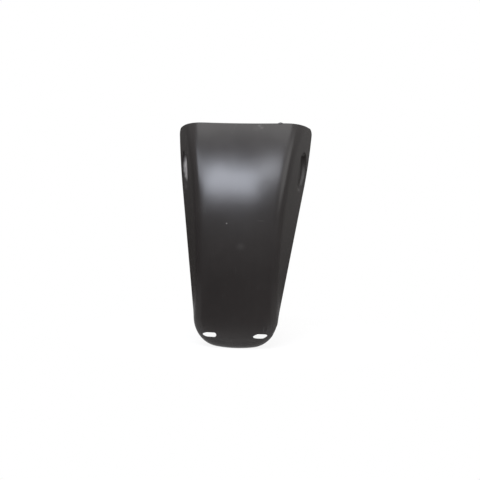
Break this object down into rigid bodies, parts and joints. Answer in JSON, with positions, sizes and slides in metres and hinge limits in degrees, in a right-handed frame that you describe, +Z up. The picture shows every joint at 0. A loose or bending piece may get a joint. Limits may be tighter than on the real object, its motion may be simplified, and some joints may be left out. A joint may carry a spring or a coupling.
{
  "type": "front inner fender",
  "caption": "Moulded inner front fender for a motorbike: an arched, tapering channel of black plastic with flared side walls, oval wall reliefs and fixing slots at the lower end.",
  "frame": {"origin": "midway between the two fixing slots, on the outer face", "axes": "+Z up the fender towards the wide end, +X across it, -Y out of the arched outer face, so the wheel's side is +Y"},
  "size_m": [0.2392, 0.1256, 0.3741],
  "materials": {
    "black_plastic": "satin moulded black polypropylene"
  },
  "bodies": {
    "root": {"front_inner_fender": "black_plastic"}
  },
  "joints": []
}
